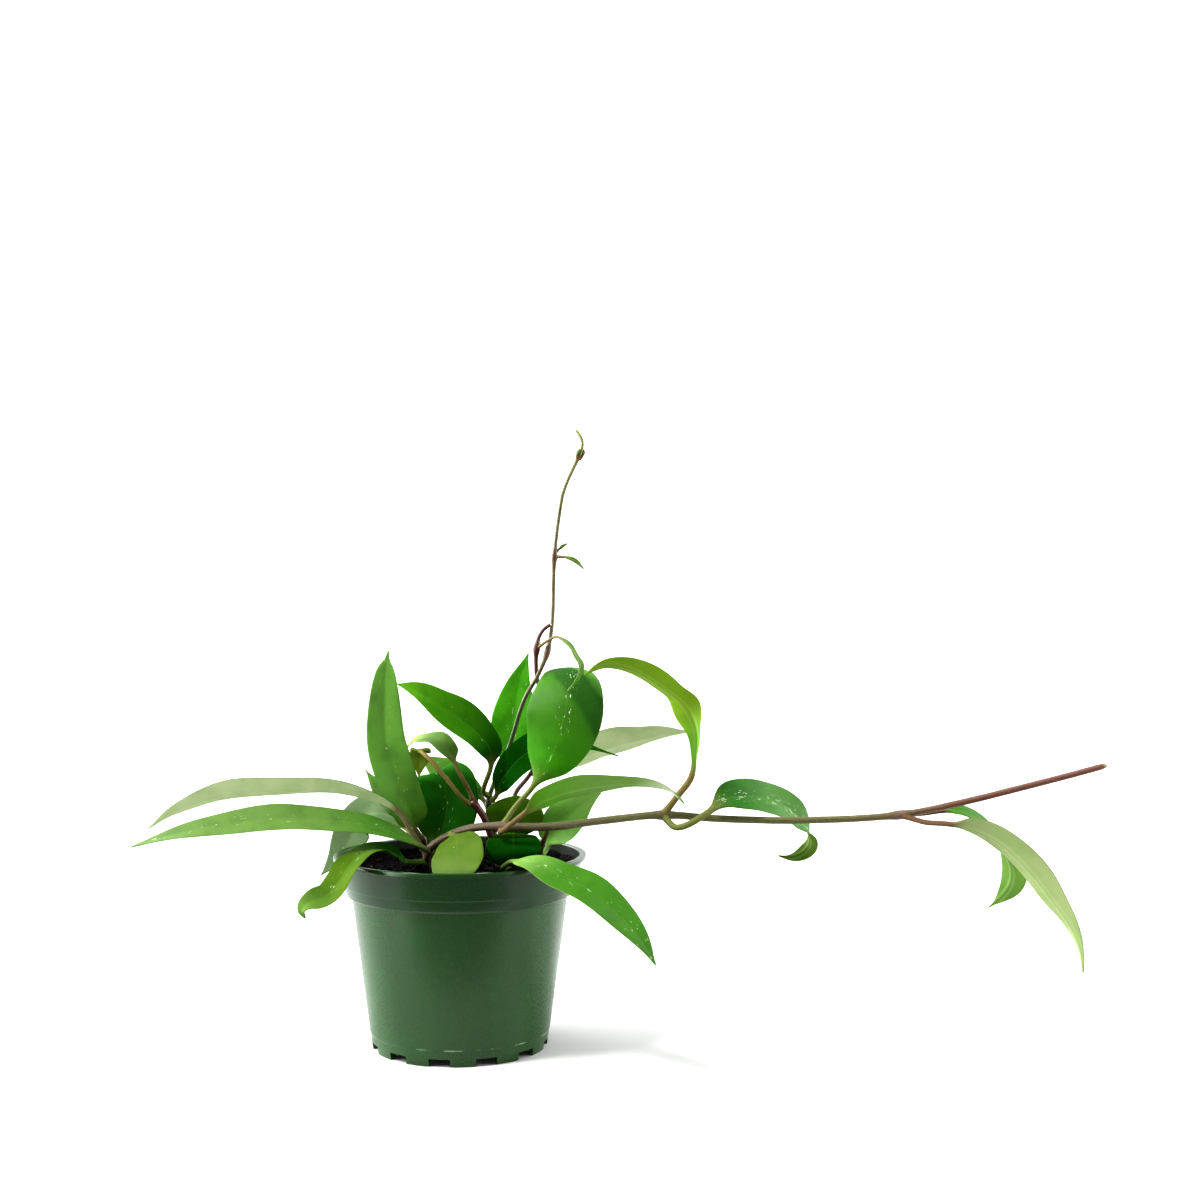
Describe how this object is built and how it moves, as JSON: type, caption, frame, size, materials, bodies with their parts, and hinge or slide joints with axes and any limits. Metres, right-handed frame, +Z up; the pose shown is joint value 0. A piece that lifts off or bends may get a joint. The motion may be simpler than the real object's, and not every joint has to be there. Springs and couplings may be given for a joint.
{
  "type": "potted climbing plant",
  "caption": "Trailing wax plant in a round tapered nursery pot, with long glossy pointed leaves, a leafy runner that reaches out to the side and thin vines that twine and climb.",
  "frame": {"origin": "middle of the flat pad under the pot, on the surface that the pot stands on", "axes": "+Z up, +X along the runner that reaches out to the right, -Y towards the viewer"},
  "size_m": [0.4331, 0.1355, 0.2787],
  "materials": {
    "pot_plastic": "satin moulded green plastic with a fine grain",
    "potting_mix": "moist dark peat mix with a few pale bits of bark",
    "runner_bark": "thin brown and olive bark with paler nodes",
    "green_stem": "young olive stem, reddish low down",
    "red_stem": "satin reddish brown stem",
    "leaf_glossy": "glossy mid green blade with white flecks",
    "leaf_dark": "glossy dark green blade with white flecks",
    "leaf_pale": "matt pale underside under a glossy green face",
    "leaf_young": "satin yellow green young blade"
  },
  "bodies": {
    "root": {"pot": "pot_plastic", "soil": "potting_mix", "runner": "runner_bark", "vine_climbing": "green_stem", "vine_twining": "red_stem", "stem_centre": "red_stem", "stem_left": "red_stem", "stem_right": "runner_bark", "stem_rooted": "green_stem", "leaf_left_upper": "leaf_pale", "leaf_left_lower": "leaf_glossy", "leaf_left_upright": "leaf_glossy", "leaf_centre_left": "leaf_dark", "leaf_young_arched": "leaf_young", "leaf_young_hanging": "leaf_young", "leaf_centre_broad": "leaf_dark", "leaf_back_left": "leaf_dark", "leaf_centre_upright": "leaf_glossy", "leaf_centre_large": "leaf_glossy", "leaf_young_thin": "leaf_young", "leaf_runner_ribbon": "leaf_pale", "leaf_back_right": "leaf_pale", "leaf_front_right": "leaf_pale", "leaf_side_right": "leaf_glossy", "leaf_front_left": "leaf_pale", "leaf_front_middle": "leaf_dark", "leaf_over_rim_right": "leaf_glossy", "leaf_over_rim_left": "leaf_young", "leaf_behind_rim": "leaf_pale", "leaf_small_left": "leaf_pale", "leaf_centre_right": "leaf_dark", "leaf_low_centre": "leaf_dark", "leaf_runner_folded": "leaf_glossy", "leaf_far_front": "leaf_pale", "leaf_far_back": "leaf_pale"}
  },
  "joints": []
}
